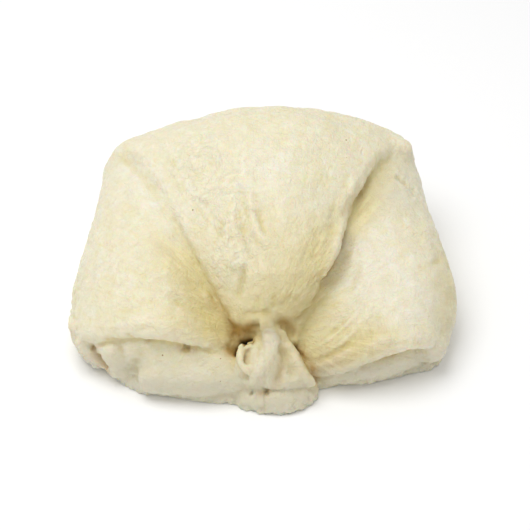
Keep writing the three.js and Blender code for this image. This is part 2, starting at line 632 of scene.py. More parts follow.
@dataclass
class DoughParcel:
    """The piece of dough. Sizes are in millimetres, and rounds are rounds of smoothing."""

    voxel: float = 0.56
    merge: float = 0.001
    relax_rounds: int = 2
    even_rounds: int = 48
    even_limit: float = 0.7
    crease_rounds: int = 36
    back_rounds: int = 150
    lump_size: float = 12.0
    lump_height: float = 0.55
    broad_fold_shade_rounds: int = 60
    dip_rounds: int = 5
    dip_unit: float = 0.02
    pinch_shade_reach: float = 22.0
    knot_front: Spot = (0, -78, 0)
    knot_pinch_shade: float = 0.3
    thread_width: float = 0.05
    thread_length: float = 0.3
    # Painted shade on low faces that turn to the front.
    grey_shade_below: float = 13.0
    grey_shade_blend: float = 6.0
    grey_shade_facing: Span = (0.2, 1.5)
    grey_shade_rounds: int = 4
    sky_rays: int = 14
    sky_reach: float = 16.0
    sky_gap: float = 0.15
    sky_rounds: int = 2
    pinch: Pinch = Pinch()
    relief: Relief = Relief()
    wrinkles: Sequence[Wrinkles] = (Wrinkles(0.15, 0.12, 7.7), Wrinkles(0.07, 0.22, 15.4))
    core: Sequence[Lobe] = (
        Lobe((-57, -32, 33), (14, 13, 10)),
        Lobe((57, -32, 30), (14, 13, 9.5)),
        Lobe((0, -32, 55), (11, 9, 6)),
        Lobe((0, 49, 60), (30, 12, 10.5)),
        Lobe((68, 73, 34), (6.5, 4.5, 11)),
        Lobe((-68, 73, 34), (6.5, 4.5, 11)),
        Lobe((75, 76, 15), (4.3, 3.4, 5)),
        Lobe((-75, 76, 15), (4.3, 3.4, 5)),
        Lobe((66, 78, 9), (5, 3.6, 3.4)),
        Lobe((-66, 78, 9), (5, 3.6, 3.4)),
    )
    lobes: Sequence[Lobe | Rope] = (
        Lobe((5, -84, 4), (10.3, 6.4, 5.4)),
        Rope(((-93, -61, 21), (-90, -64, 17), (-86, -67, 13), (-82, -69, 11)), (1.6, 1.5, 1.2, 1)),
        Lobe((-82, -65, 25), (2.0, 2.2, 2.2)),
        Rope(((-66, -69, 11), (-66, -71, 20), (-66, -71, 28)), (3.2, 3.2, 3)),
        Rope(
            ((-70, -70, 34), (-58, -72.5, 35), (-44, -74, 35), (-33, -76, 34)),
            (2, 2.3, 2.3, 1.6),
        ),
        Lobe((85, -62, 20), (4, 3.5, 4.5)),
        Rope(((-66, -66, 32), (-54, -69, 32), (-39, -70, 31), (-17, -69, 26)), (3.2, 3.4, 3.4, 3)),
        Rope(
            ((-57, -76, 27), (-46, -78, 27), (-32, -79, 26.5), (-18, -79, 25)),
            (2.4, 2.7, 2.7, 2.2),
        ),
        Lobe((-9, -65, 34), (2.6, 2.4, 2.6)),
        Lobe((-98, -50, 25), (1.4, 2.0, 1.5)),
        Lobe((72, 34, 63), (1.8, 1.5, 1.5)),
        Lobe((74, 62, 70), (3.6, 3.4, 3.4)),
        Rope(
            (
                (13, -66, 31), (14, -62, 36), (17, -56, 39), (27, -44, 47), (35, -30, 53),
                (41, -14, 60), (46, -2, 64),
            ),
            (2.1, 2.3, 2.4, 2.2, 1.8, 1.3, 0.9),
        ),
        Lobe((1, -71.5, 48.5), (1.7, 1.4, 1.4)),
        Lobe((7.5, -71, 41), (1.6, 1.4, 1.8)),
        Lobe((7, -73, 40.5), (2.1, 1.4, 2.2)),
        Rope(
            ((-30, -52, 51.5), (-26, -57, 45.5), (-22, -62, 40.5), (-18, -66, 36)),
            (0.9, 1.5, 1.6, 1.0),
        ),
        Rope(
            (
                (45, 8, 68), (42, -1, 70), (39.5, -10, 71), (37.5, -19, 71), (35.5, -28, 69),
                (33, -37, 65), (30, -44, 61),
            ),
            (0.8, 1.4, 1.7, 1.8, 1.7, 1.3, 0.8),
        ),
        Rope(
            (
                (0.5, -72.5, 50), (2, -75, 46.5), (3.5, -78, 42.5), (3.5, -81, 38),
                (1.5, -84.5, 32.5), (-2, -87.5, 26), (-5.5, -89.5, 20),
            ),
            (1.3, 1.6, 1.9, 2.1, 2.4, 2.4, 1.8),
        ),
        Rope(
            ((8, -73, 39), (12, -78, 34.5), (16, -84, 28), (19, -87, 23), (24, -89, 16)),
            (0.9, 1.1, 1.2, 1.2, 1),
        ),
        Rope(((-5, -79.5, 36), (-5.5, -83.5, 33), (-6, -87, 28.5)), (1, 1.2, 1.1)),
        Rope(
            ((-11.5, -80, 36.5), (-12, -84, 35), (-11.5, -87.5, 32), (-9, -89.5, 28)),
            (0.9, 1, 1.3, 1.4),
        ),
        Rope(((-13, -89, 16), (-2, -91, 17), (11, -92, 17), (22, -88, 14)), (0.8, 0.9, 0.9, 0.8)),
    )
    soft_creases: Sequence[Stroke] = (
        patch(((-80, 62, 68), (-72, 44, 71), (-62, 27, 72), (-54, 4, 72)), 4.0, 0.3),
        patch(((72, 48, 72), (64, 34, 72)), 3.0, 0.6),
        patch(((-58, -82, 28), (-45, -84, 28), (-25, -85, 28)), 2.6, 0.9),
    )
    soft_back: Sequence[Stroke] = (
        patch(((-75, 88, 62), (0, 96, 68), (75, 88, 62)), 9.0, 0.95),
        patch(((-82, 84, 20), (-80, 84, 45)), 6.0, 0.95),
        patch(((82, 84, 20), (80, 84, 45)), 6.0, 0.95),
    )
    back_fold: Sequence[Stroke] = (
        Stroke(
            ((-7, -1, 91), (-7, -9, 88), (-6, -18, 86), (-4, -27, 83), (-1, -34, 80), (3, -39, 78)),
            Reach.RIDGE, 0.85, 0.85,
        ),
        Stroke(((-4, -13, 87), (-2, -25, 84), (1, -33, 80)), Reach.GROOVE, 1.0, 0.45, 0.8),
        Stroke(
            ((-14, -10, 87), (-16, -18, 84), (-15, -28, 80), (-13, -33, 78)),
            Reach.RIDGE, 0.85, 0.65,
        ),
        Stroke(((-18, -22, 82), (-19, -31, 77), (-19, -36, 75)), Reach.RIDGE, 0.85, 0.6),
        Stroke(((-20, -20, 82), (-24, -27, 77), (-26, -33, 73)), Reach.GROOVE, 1.2, 0.7),
        Stroke(
            ((-11, -23, 83), (-10, -34, 79), (-8, -41, 76), (-7, -46, 73)),
            Reach.GROOVE, 1.0, 0.5, 0.8,
        ),
        Stroke(
            ((-9, -47, 72), (-11, -53, 67), (-12, -57, 61), (-14, -61, 55)),
            Reach.GROOVE, 1.0, 1.1, 0.8,
        ),
        Stroke(((-14, -44, 72), (-12, -48, 70)), Reach.RIDGE, 1.5, 0.8, 0.2),
        Stroke(
            ((-22, 7, 91), (-16, 8, 92), (-11, 8, 93), (-7, 13, 95), (-4, 16, 96)),
            Reach.RIDGE, 0.6, 0.35,
        ),
        Stroke(((-10, 26, 97), (-11, 17, 96), (-11, 9, 94)), Reach.RIDGE, 0.6, 0.35),
        Stroke(((46, 18, 83), (45, 11, 81), (44, 5, 78)), Reach.RIDGE, 0.9, 0.6),
        Stroke(((27, -21, 79), (26, -33, 74), (24, -42, 69)), Reach.GROOVE, 1.6, 0.4),
        Stroke(((37, -1, 81), (36, -14, 77), (32, -27, 73)), Reach.GROOVE, 1.4, 0.4),
        Stroke(((-72, 58, 75), (-54, 62, 84), (-36, 66, 91)), Reach.GROOVE, 5.0, 0.8, 0),
        Stroke(((40, 65, 91), (56, 62, 85), (68, 60, 79)), Reach.GROOVE, 5.0, 0.7, 0),
    )
    left_fold: Sequence[Stroke] = (
        Stroke(((-42, -62, 56), (-34, -62, 52), (-27, -63, 47)), Reach.GROOVE, 2.2, 0.6, 0),
        Stroke(((-61, -53, 61), (-55, -49, 63), (-47, -44, 64)), Reach.RIDGE, 0.7, 0.3),
        Stroke(((-68, -78, 45), (-66, -76, 40)), Reach.GROOVE, 0.9, 0.5, 0.2),
        Stroke(((-84, -68, 20), (-82, -71, 16), (-80, -74, 12)), Reach.GROOVE, 1.2, 1.9, 0.3),
        Stroke(((-41, -80, 36), (-37, -80, 35)), Reach.GROOVE, 0.65, 1.4, 0.1),
        Stroke(((-64, -75, 24), (-66, -76, 19), (-65, -78, 12)), Reach.GROOVE, 1.3, 0.9),
        Stroke(((-75, 28, 72), (-70, 8, 71), (-66, -6, 70)), Reach.GROOVE, 1.4, 0.3),
        Stroke(
            (
                (-89, -67, 21), (-85, -69, 26), (-78, -72, 32), (-68, -75, 37), (-62, -76, 39),
                (-53, -78, 40), (-44, -80, 39), (-35, -80, 37), (-27, -80, 33), (-19, -80, 30),
            ),
            Reach.GROOVE, 0.7, 0.65, 0.3,
        ),
        Stroke(
            ((-79, 60, 68), (-71, 42, 71), (-61, 25, 72), (-53, 2, 72), (-46, -16, 70)),
            Reach.GROOVE, 1.0, 0.3,
        ),
    )
    right_fold: Sequence[Stroke] = (
        Stroke(((84, -29, 53), (88, -22, 50), (92, -15, 46)), Reach.GROOVE, 1.1, 0.5),
        Stroke(
            ((43, -84, 25), (53, -80, 37), (66, -72, 43), (72, -63, 47)),
            Reach.RIDGE, 1.8, 0.25,
        ),
        Stroke(((69, 38, 68), (73, 34, 66), (78, 28, 62)), Reach.GROOVE, 0.9, 0.9),
        Stroke(((50, -28, 58), (47, -38, 54), (43, -47, 50)), Reach.GROOVE, 0.8, 0.5),
        Stroke(((47, -18, 61), (46, -24, 59), (45, -30, 57)), Reach.RIDGE, 0.7, 0.4),
    )
    knot: Sequence[Stroke] = (
        Stroke(
            ((7.5, -79, 40), (9.5, -84, 33), (9, -88, 28), (7, -91, 23), (5.5, -92, 19)),
            Reach.GROOVE, 1.1, 1.3,
        ),
        Stroke(
            ((11, -80, 37), (12, -84, 31.5), (13, -88, 26), (14, -91, 21)),
            Reach.GROOVE, 1.1, 0.9,
        ),
        Stroke(
            ((-12, -70, 45), (-7, -69.5, 49), (-2, -69.5, 50), (3, -71, 49)),
            Reach.RIDGE, 0.8, 0.5,
        ),
        Stroke(((10.5, -71, 46), (13, -70, 42), (15, -70, 37)), Reach.GROOVE, 1.0, 1.6, 0),
        Stroke(
            ((-13, -68, 48), (-8, -67.5, 52), (-2, -68.5, 54), (4, -69.5, 53)),
            Reach.GROOVE, 0.8, 0.5,
        ),
        Stroke(((-9, -72, 43), (-3, -72, 46), (2, -73, 45)), Reach.GROOVE, 0.6, 0.6),
        Stroke(((-3, -62, 62), (-4, -67, 55)), Reach.GROOVE, 0.7, 0.4),
        Stroke(((5, -62, 62), (5, -67, 55)), Reach.GROOVE, 0.7, 0.4),
        Stroke(
            ((-19, -91, 8), (-3, -94, 14.5), (11, -94, 15), (24, -88, 12)),
            Reach.GROOVE, 0.45, 0.35,
        ),
        Stroke(((0, -93, 13), (2, -93, 13)), Reach.GROOVE, 0.7, 1.8, 0.1),
        Stroke(((-7, -92, 11), (-6, -93, 11)), Reach.GROOVE, 0.6, 1.0, 0.1),
        Stroke(((-11, -77, 38), (-8, -77, 39), (-5, -76, 39)), Reach.GROOVE, 1.2, 1.6, 0.2),
        Stroke(
            ((-7, -80.5, 38), (-8.5, -84, 36), (-9, -87, 33), (-8, -89, 30)),
            Reach.GROOVE, 0.6, 1.3,
        ),
        Stroke(
            ((-14, -86, 32), (-13, -89, 29), (-10, -91, 25), (-8, -91, 20)),
            Reach.GROOVE, 0.7, 0.8,
        ),
    )
    torn: Sequence[Stroke] = (
        patch(
            ((-21, -92, 3), (-11, -94, 2), (3, -98, 2), (13, -98, 2), (22, -93, 3), (28, -82, 4)),
            1.8, 0.9,
        ),
        patch(((-12, -81, 37), (-7, -79, 38), (-4, -78, 38)), 1.0, 0.9),
        patch(((70, 42, 68), (76, 34, 65), (80, 22, 61)), 2.0, 0.6),
        patch(((-97, -20, 34), (-99, -40, 28), (-98, -52, 24), (-94, -62, 18)), 3.0, 0.65),
        patch(((41, -80, 5), (60, -76, 5), (76, -71, 5), (91, -58, 6), (97, -40, 8)), 2.2, 0.9),
        patch(((-90, -62, 8), (-76, -73, 4), (-60, -83, 3), (-40, -90, 4)), 1.8, 0.5),
        patch(((-18, -88, 12), (-2, -90, 9), (12, -90, 10), (24, -85, 9)), 1.0, 0.5),
    )
    creased: Mask = Mask("creased", 10, (
        patch(((-34, 26, 91), (-26, 4, 88), (-18, -20, 84), (-14, -44, 73)), 8.0, 1.0),
        patch(((44, 10, 82), (36, -20, 76), (24, -44, 68)), 5.0, 0.35),
        patch(((26, -80, 24), (50, -72, 42), (60, -50, 52)), 7.0, 0.3),
        patch(((-28, -62, 48), (-45, -62, 58), (-62, -62, 56)), 4.0, 0.35),
    ))
    # Yellow patches: partly moist dough, partly painted shade on slopes and valleys that turn away
    # from the light.
    stained_and_shaded: Mask = Mask("stain_and_shade", 60, (
        patch(((-23, -66, 42), (-32, -58, 51), (-38, -46, 59), (-46, -28, 66)), 5.0, 0.9),
        patch(((-20, -70, 38), (-30, -72, 42), (-42, -74, 46)), 4.0, 0.4),
        patch(((20, -78, 22), (32, -81, 24), (44, -79, 32), (54, -76, 40)), 4.5, 1.0),
        patch(((12, -64, 34), (24, -58, 42), (28, -48, 48)), 4.0, 0.6),
        patch(((48, 0, 64), (56, 20, 66), (64, 36, 68)), 4.5, 0.6),
        patch(((30, -28, 74), (22, -44, 68), (12, -58, 58)), 5.5, 0.75),
        patch(((-2, -18, 87), (0, -26, 83)), 5.0, 0.3),
        patch(((96, -10, 40), (97, -30, 36), (95, -50, 28)), 6.0, 0.6),
        patch(((12, -83, 32), (13, -88, 26)), 2.0, 0.7),
        patch(((53, 12, 69), (46, -4, 64), (41, -16, 60), (35, -30, 54)), 2.4, 0.5),
        patch(((45, 4, 72), (40, -12, 72), (36, -26, 69), (28, -46, 60)), 2.6, 0.5),
    ))
    # Pale patches: partly floury dust, partly painted highlight on lit slopes, the flap's top and
    # the knot's bright pleat edges.
    floured_and_highlit: Mask = Mask("flour_and_highlight", 60, (
        patch(((2, -79, 43), (0, -85, 37), (-4, -89, 31)), 1.8, 0.8),
        patch(((50, -24, 60), (58, -40, 55), (68, -52, 53)), 8.0, 1.0),
        patch(((-2, 22, 97), (0, 2, 92)), 7.0, 0.7),
        patch(
            ((-84, 40, 68), (-71, 40, 71), (-61, 23, 72), (-53, 0, 72), (-45, -20, 69)),
            3.2, 0.8,
        ),
        patch(((4, -46, 74), (8, -52, 68)), 4.0, 0.4),
        patch(((-16, -38, 75), (-14, -50, 69), (-12, -58, 61)), 3.2, 0.6),
        patch(((46, -36, 54), (52, -50, 48)), 5.0, 0.7),
        patch(((10, -78, 39), (15, -83, 30), (20, -87, 21), (24, -88, 15)), 1.1, 0.9),
    ))
    # Painted shade: brown in the pinch hole, small holes, notches and along flap edges, where
    # little light reaches.
    brown_shade_marks: Mask = Mask("brown", 3, (
        patch(((-14, -68, 37), (-12, -69, 39), (-9, -70, 41), (-7, -71, 44)), 1.9, 1.0),
        patch(((-18, -76, 30), (-13, -77, 30), (-10, -74, 30)), 1.6, 1.0),
        patch(((-26, -56, 52), (-20, -62, 46), (-14, -66, 40)), 1.4, 0.55),
        patch(((8.5, -69, 46), (11, -68, 44), (13.5, -68, 39)), 1.25, 1.0),
        patch(((17, -60, 42), (24, -52, 48), (32, -40, 52)), 1.2, 0.35),
        patch(((14, -78, 32), (18, -80, 27), (24, -82, 20)), 1.3, 0.5),
        patch(((22, -82, 21), (30, -81, 24), (39, -78, 29)), 2.2, 0.2),
        patch(((9, -82, 35), (8.5, -88, 28.5), (6, -92, 20)), 1.3, 0.35),
        patch(((-8, -83, 36), (-9, -87, 33)), 0.8, 0.5),
        patch(((-84, -68, 19), (-80, -73, 12)), 1.3, 0.8),
        patch(((-42, -80, 36), (-36, -80, 35)), 1.0, 0.6),
        patch(((-2, -94, 13), (2, -94, 13)), 0.7, 0.7),
    ))
    # Painted shade on the right fold's upper slope, beside the flap.
    painted_shade_patches: Mask = Mask("painted_shade_patches", 30, (
        patch(((82, 54, 64), (75, 36, 66), (70, 18, 67)), 5.0, 0.7),
    ))
    fans: Sequence[Fan] = (
        Fan(
            (
                ((22, -84, 21), (31, -82, 20), (39, -82, 25), (46, -81, 32), (54, -77, 39)),
                ((23, -79, 20), (32, -81, 25), (49, -76, 37), (57, -70, 43), (71, -49, 52)),
                ((21, -76, 23), (28, -77, 26), (37, -75, 32), (44, -71, 38), (62, -44, 54)),
                ((18, -70, 30), (28, -66, 38), (38, -58, 45), (48, -46, 52), (60, -22, 60)),
            ),
            count=36, width=0.5, height=0.3, seed=5,
        ),
    )

    def start(self) -> bmesh.types.BMesh:
        """Presses the lobes onto a merged copy of the frame's solid.

        Returns:
            The solid and the lobes, which still overlap.
        """
        bm = bmesh.new()
        bm.from_mesh(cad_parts[NODE].data)
        bmesh.ops.remove_doubles(bm, verts=bm.verts, dist=self.merge * MM)
        for lobe in (*self.core, *self.lobes):
            lobe.add_to(bm)
        return bm

    def remesh(self, bm: bmesh.types.BMesh) -> bpy.types.Mesh:
        """Melts everything in a bmesh into one skin of even, small faces.

        Args:
            bm: closed shapes that may overlap. It is used up.

        Returns:
            The new mesh.
        """
        rough = bpy.data.meshes.new("rough")
        bm.to_mesh(rough)
        bm.free()
        holder = bpy.data.objects.new("rough", rough)
        bpy.context.scene.collection.objects.link(holder)
        melt = holder.modifiers.new("melt", "REMESH")
        melt.mode = "VOXEL"
        melt.voxel_size = self.voxel * MM
        melt.use_smooth_shade = True
        graph = bpy.context.evaluated_depsgraph_get()
        skin = bpy.data.meshes.new_from_object(holder.evaluated_get(graph))
        bpy.data.objects.remove(holder)
        bpy.data.meshes.remove(rough)
        return skin

    def drop_inner_shells(self, mesh: bpy.types.Mesh) -> None:
        """Deletes the closed pockets inside the dough, which nobody can see.

        Args:
            mesh: the remeshed skin.
        """
        bm = bmesh.new()
        bm.from_mesh(mesh)
        unseen = set(bm.verts)
        shells = []
        while unseen:
            first = unseen.pop()
            shell, queue = [first], [first]
            while queue:
                for edge in queue.pop().link_edges:
                    for vert in edge.verts:
                        if vert in unseen:
                            unseen.remove(vert)
                            shell.append(vert)
                            queue.append(vert)
            shells.append(shell)
        shells.sort(key=len, reverse=True)
        inner = [vert for shell in shells[1:] for vert in shell]
        bmesh.ops.delete(bm, geom=inner, context="VERTS")
        bm.to_mesh(mesh)
        bm.free()
        log.info("skin: %d faces, %d inner shells dropped", len(mesh.polygons), len(shells) - 1)

    def build(self) -> bpy.types.Object:
        """Makes the piece.

        Returns:
            The finished object.
        """
        mesh = self.remesh(self.start())
        self.drop_inner_shells(mesh)
        clay = Clay(mesh)
        self.smooth(clay)
        clay.push(self.lump_height * clay.texture(self.lump_size, Field.LUMPS))
        for strokes in (self.back_fold, self.left_fold, self.right_fold, self.knot):
            clay.stroke(strokes)
        for fan in self.fans:
            clay.stroke(fan.strokes())
        self.gather(clay)
        self.crumple(clay)
        self.tear(clay)
        self.rest(clay)
        clay.store()
        self.write_masks(clay)
        mesh.polygons.foreach_set("use_smooth", [True] * len(mesh.polygons))
        mesh.name = PIECE
        piece = bpy.data.objects.new(PIECE, mesh)
        bpy.context.scene.collection.objects.link(piece)
        return piece

    def smooth(self, clay: Clay) -> None:
        """Takes the remesh's steps and the solid's flats out of the skin.

        Args:
            clay: the piece.
        """
        clay.relax(self.relax_rounds)
        clay.even_out(self.even_rounds, self.even_limit)
        for crease in self.soft_creases:
            clay.soften(crease, self.crease_rounds)
        for edge in self.soft_back:
            clay.soften(edge, self.back_rounds)

    def gather(self, clay: Clay) -> None:
        """Draws the skin into uneven wrinkles that run to the pinch.

        Args:
            clay: the piece.
        """
        pull = self.pinch.pull(clay)
        sway = clay.texture(self.relief.sway_size, Field.SWAY)
        for wrinkles in self.wrinkles:
            clay.push(wrinkles.amounts(pull, sway))

    def crumple(self, clay: Clay) -> None:
        """Gives the surface its small dents, veins and blisters.

        Args:
            clay: the piece.
        """
        relief = self.relief
        dents = clay.texture(relief.dent_size, Field.DENTS)
        pull = self.pinch.pull(clay)
        sway = clay.texture(relief.vein_sway_size, Field.VEINS)
        across = pull.angle / relief.vein_width + relief.vein_sway * sway
        found = clay.noise_at(pull.spots(across, relief.vein_length, relief.vein_layer))
        veins = np.clip(1 - relief.vein_sharpness * np.abs(found), 0, 1)
        folded = np.abs(clay.texture(relief.fold_size, Field.FOLDS))
        folds = relief.fold_middle - relief.fold_sharpness * folded
        creased = relief.creased_everywhere + self.creased.amounts(clay)
        side = 1 - np.clip(clay.normals()[:, 2], 0, 1)
        grain = clay.texture(relief.grain_size, Field.GRAIN)
        clay.push(
            relief.dent_height * dents
            + creased * (relief.vein_height * veins + relief.fold_height * folds)
            + (relief.grain_height + relief.side_grain_height * side) * grain
        )

    def tear(self, clay: Clay) -> None:
        """Makes the torn rims ragged.

        Args:
            clay: the piece.
        """
        ragged = clay.texture(self.relief.ragged_size, Field.RAGGED, self.relief.ragged_octaves)
        for rim in self.torn:
            clay.push(rim.amounts(clay.places) * ragged)

    def rest(self, clay: Clay) -> None:
        """Keeps the piece inside its box, flat on the table.

        Args:
            clay: the piece.
        """
        clay.places = np.clip(clay.places, np.array(EXTENT.low) / MM, np.array(EXTENT.high) / MM)

    def write_masks(self, clay: Clay) -> None:
        """Writes what the material needs to know about each point.

        Args:
            clay: the piece.
        """
        shut_in = self.shut_in(clay)
        dip = np.sum((clay.around(clay.places) - clay.places) * clay.normals(), axis=1)
        pull = self.pinch.pull(clay)
        self.write(clay.mesh, "shut_in", shut_in)
        # Painted shade: the shut-in measure, spread wide, tints whole folds darker and warmer.
        self.write(clay.mesh, "broad_fold_shade", clay.spread(shut_in, self.broad_fold_shade_rounds))
        self.write(clay.mesh, "dip", clay.spread(dip, self.dip_rounds) / self.dip_unit)
        self.write(clay.mesh, "pinch_shade", self.pinch_shade(clay, pull))
        self.write(clay.mesh, "dry", self.dry(clay))
        for mask in (self.stained_and_shaded, self.floured_and_highlit, self.brown_shade_marks, self.creased):
            self.write(clay.mesh, mask.name, mask.shade(clay))
        threads = pull.spots(pull.angle / self.thread_width, self.thread_length, pull.strength)
        drawn = clay.mesh.attributes.new("pull", "FLOAT_VECTOR", "POINT")
        drawn.data.foreach_set("vector", threads.ravel())

    def pinch_shade(self, clay: Clay, pull: Pull) -> np.ndarray:
        """How near each point is to the pinch, where painted warm, yellow shade darkens the dough.

        Args:
            clay: the piece.
            pull: how its skin is drawn.

        Returns:
            One number from 0 to 1 for each point, lower on the knot's own front.
        """
        near = np.exp(-((np.exp(pull.way) / self.pinch_shade_reach) ** 2))
        on_knot = clay.places[:, 1] < EXTENT.at(*self.knot_front).y / MM
        return near * np.where(on_knot, self.knot_pinch_shade, 1)

    def dry(self, clay: Clay) -> np.ndarray:
        """How much painted grey shade each point gets: the low front faces, which turn away from
        the light, and some shaded patches.

        Args:
            clay: the piece.

        Returns:
            One number from 0 to 1 for each point.
        """
        low = np.clip((self.grey_shade_below - clay.places[:, 2]) / self.grey_shade_blend, 0, 1)
        least, slope = self.grey_shade_facing
        facing = np.clip(-clay.normals()[:, 1] * slope + least, 0, 1)
        return np.clip(clay.spread(low * facing, self.grey_shade_rounds) + self.painted_shade_patches.shade(clay), 0, 1)

    def sky(self) -> list[Spot]:
        """Fills the half of space above a surface that faces up with rays.

        Returns:
            The rays' directions.
        """
        golden = math.pi * (3 - math.sqrt(5))
        rays = []
        for i in range(self.sky_rays):
            lift = 1 - (i + 0.5) / self.sky_rays
            side = math.sqrt(1 - lift * lift)
            rays.append((side * math.cos(golden * i), side * math.sin(golden * i), lift))
        return rays

    def shut_in(self, clay: Clay) -> np.ndarray:
        """How far each point is shut in by the dough around it.

        Args:
            clay: the piece.

        Returns:
            One number from 0, open, to 1, deep in a fold, for each point.
        """
        tree = BVHTree.FromPolygons(
            [tuple(place) for place in clay.places],
            [tuple(face.vertices) for face in clay.mesh.polygons],
        )
        sky = self.sky()
        hidden = np.zeros(len(clay.places))
        for i, (place, normal) in enumerate(zip(clay.places, clay.normals())):
            up = Vector(normal)
            turn = up.to_track_quat("Z", "Y").to_matrix()
            start = Vector(place) + up * self.sky_gap
            for ray in sky:
                *_, away = tree.ray_cast(start, turn @ Vector(ray), self.sky_reach)
                if away is not None:
                    hidden[i] += (1 - away / self.sky_reach) * ray[2] * 2 / self.sky_rays
        return clay.spread(np.clip(hidden, 0, 1), self.sky_rounds)

    @staticmethod
    def write(mesh: bpy.types.Mesh, name: str, values: np.ndarray) -> None:
        """Stores one number for each point.

        Args:
            mesh: the mesh.
            name: what the material calls it.
            values: the numbers.
        """
        mesh.attributes.new(name, "FLOAT", "POINT").data.foreach_set("value", values)


# ---- Finish -------------------------------------------------------------------------------------

Colour = tuple[float, float, float]
Socket = bpy.types.NodeSocket
Value = float | tuple[float, ...] | Socket


@dataclass(frozen=True)
class Ramp:
    """Brings a value from one span to another: low becomes start, and high becomes end."""

    low: float
    high: float
    start: float = 0.0
    end: float = 1.0


@dataclass(frozen=True)
class Lumps:
    """A random pattern of lumps.

    Their size is in millimetres. The detail is how many finer layers they have, the roughness is
    how strong those are, and the bend is how much the lumps are drawn out into each other.
    """

    size: float
    detail: float
    rough: float = 0.5
    bend: float = 0.0


@dataclass(frozen=True)
class Fibres:
    """Fine threads that run to the pinch: how dense they are, and how they break up."""

    density: float
    detail: float
    rough: float


class Wiring:
    """Places and joins the nodes of one tree."""

    def __init__(self, tree: bpy.types.NodeTree) -> None:
        """Takes hold of a tree.

        Args:
            tree: the tree.
        """
        self.tree = tree

    def node(
        self, kind: str, inputs: dict[str, Value] | None = None, **settings: object
    ) -> bpy.types.Node:
        """Adds a node.

        Args:
            kind: its type, without the word ShaderNode.
            inputs: a value or a socket for each named input.
            settings: its own settings.

        Returns:
            The node.
        """
        made = self.tree.nodes.new("ShaderNode" + kind)
        for name, value in settings.items():
            setattr(made, name, value)
        for name, value in (inputs or {}).items():
            self.feed(self.socket(made, name), value)
        return made

    @staticmethod
    def socket(node: bpy.types.Node, name: str) -> Socket:
        """The input of a node that has this name and is in use."""
        return next(s for s in node.inputs if s.name == name and s.enabled)

    def feed(self, socket: Socket, value: Value) -> None:
        """Gives an input a value, or joins it to an output.

        Args:
            socket: the input.
            value: a number, a colour or an output.
        """
        if isinstance(value, Socket):
            self.tree.links.new(value, socket)
        elif socket.type == "RGBA" and len(value) == 3:
            socket.default_value = (*value, 1)
        else:
            socket.default_value = value

    def mix(self, share: Value, one: Value, other: Value) -> Socket:
        """Mixes two colours.

        Args:
            share: how much of the other colour.
            one: the first colour.
            other: the other colour.

        Returns:
            The mixed colour.
        """
        made = self.node(
            "Mix", {"Factor": share}, data_type="RGBA", blend_type="MIX", clamp_factor=True
        )
        self.feed(self.socket(made, "A"), one)
        self.feed(self.socket(made, "B"), other)
        return next(s for s in made.outputs if s.enabled)

    def calc(self, kind: str, *values: Value) -> Socket:
        """One step of arithmetic.

        Args:
            kind: the operation.
            values: its numbers or sockets, in order.

        Returns:
            The result.
        """
        made = self.node("Math", operation=kind)
        for socket, value in zip(made.inputs, values):
            self.feed(socket, value)
        return made.outputs[0]

    def times(self, one: Value, other: Value) -> Socket:
        """The product of two values."""
        return self.calc("MULTIPLY", one, other)

    def span(self, value: Value, ramp: Ramp) -> Socket:
        """Brings a value along a ramp, and keeps it between the ramp's ends.

        Args:
            value: the value.
            ramp: the ramp.

        Returns:
            The new value.
        """
        made = self.node("MapRange", {
            "Value": value,
            "From Min": ramp.low, "From Max": ramp.high,
            "To Min": ramp.start, "To Max": ramp.end,
        }, interpolation_type="SMOOTHSTEP")
        return made.outputs["Result"]

    def lumps(self, place: Value, lumps: Lumps) -> Socket:
        """Random lumps, as a value about 0 to 1.

        Args:
            place: where they are read.
            lumps: what they are like.

        Returns:
            The value.
        """
        made = self.node("TexNoise", {
            "Vector": place, "Scale": 1 / (lumps.size * MM), "Detail": lumps.detail,
            "Roughness": lumps.rough, "Distortion": lumps.bend,
        })
        return made.outputs["Fac"]

    def fibres(self, pull: Value, fibres: Fibres) -> Socket:
        """Random threads, as a value about 0 to 1.

        Args:
            pull: how the skin is drawn.
            fibres: what they are like.

        Returns:
            The value.
        """
        made = self.node("TexNoise", {
            "Vector": pull, "Scale": fibres.density, "Detail": fibres.detail,
            "Roughness": fibres.rough,
        })
        return made.outputs["Fac"]

    def read(self, name: str, output: str = "Fac") -> Socket:
        """One of the values that the piece carries at each point.

        Args:
            name: what it is called.
            output: which output of the node is used.

        Returns:
            The value.
        """
        return self.node("Attribute", attribute_name=name).outputs[output]


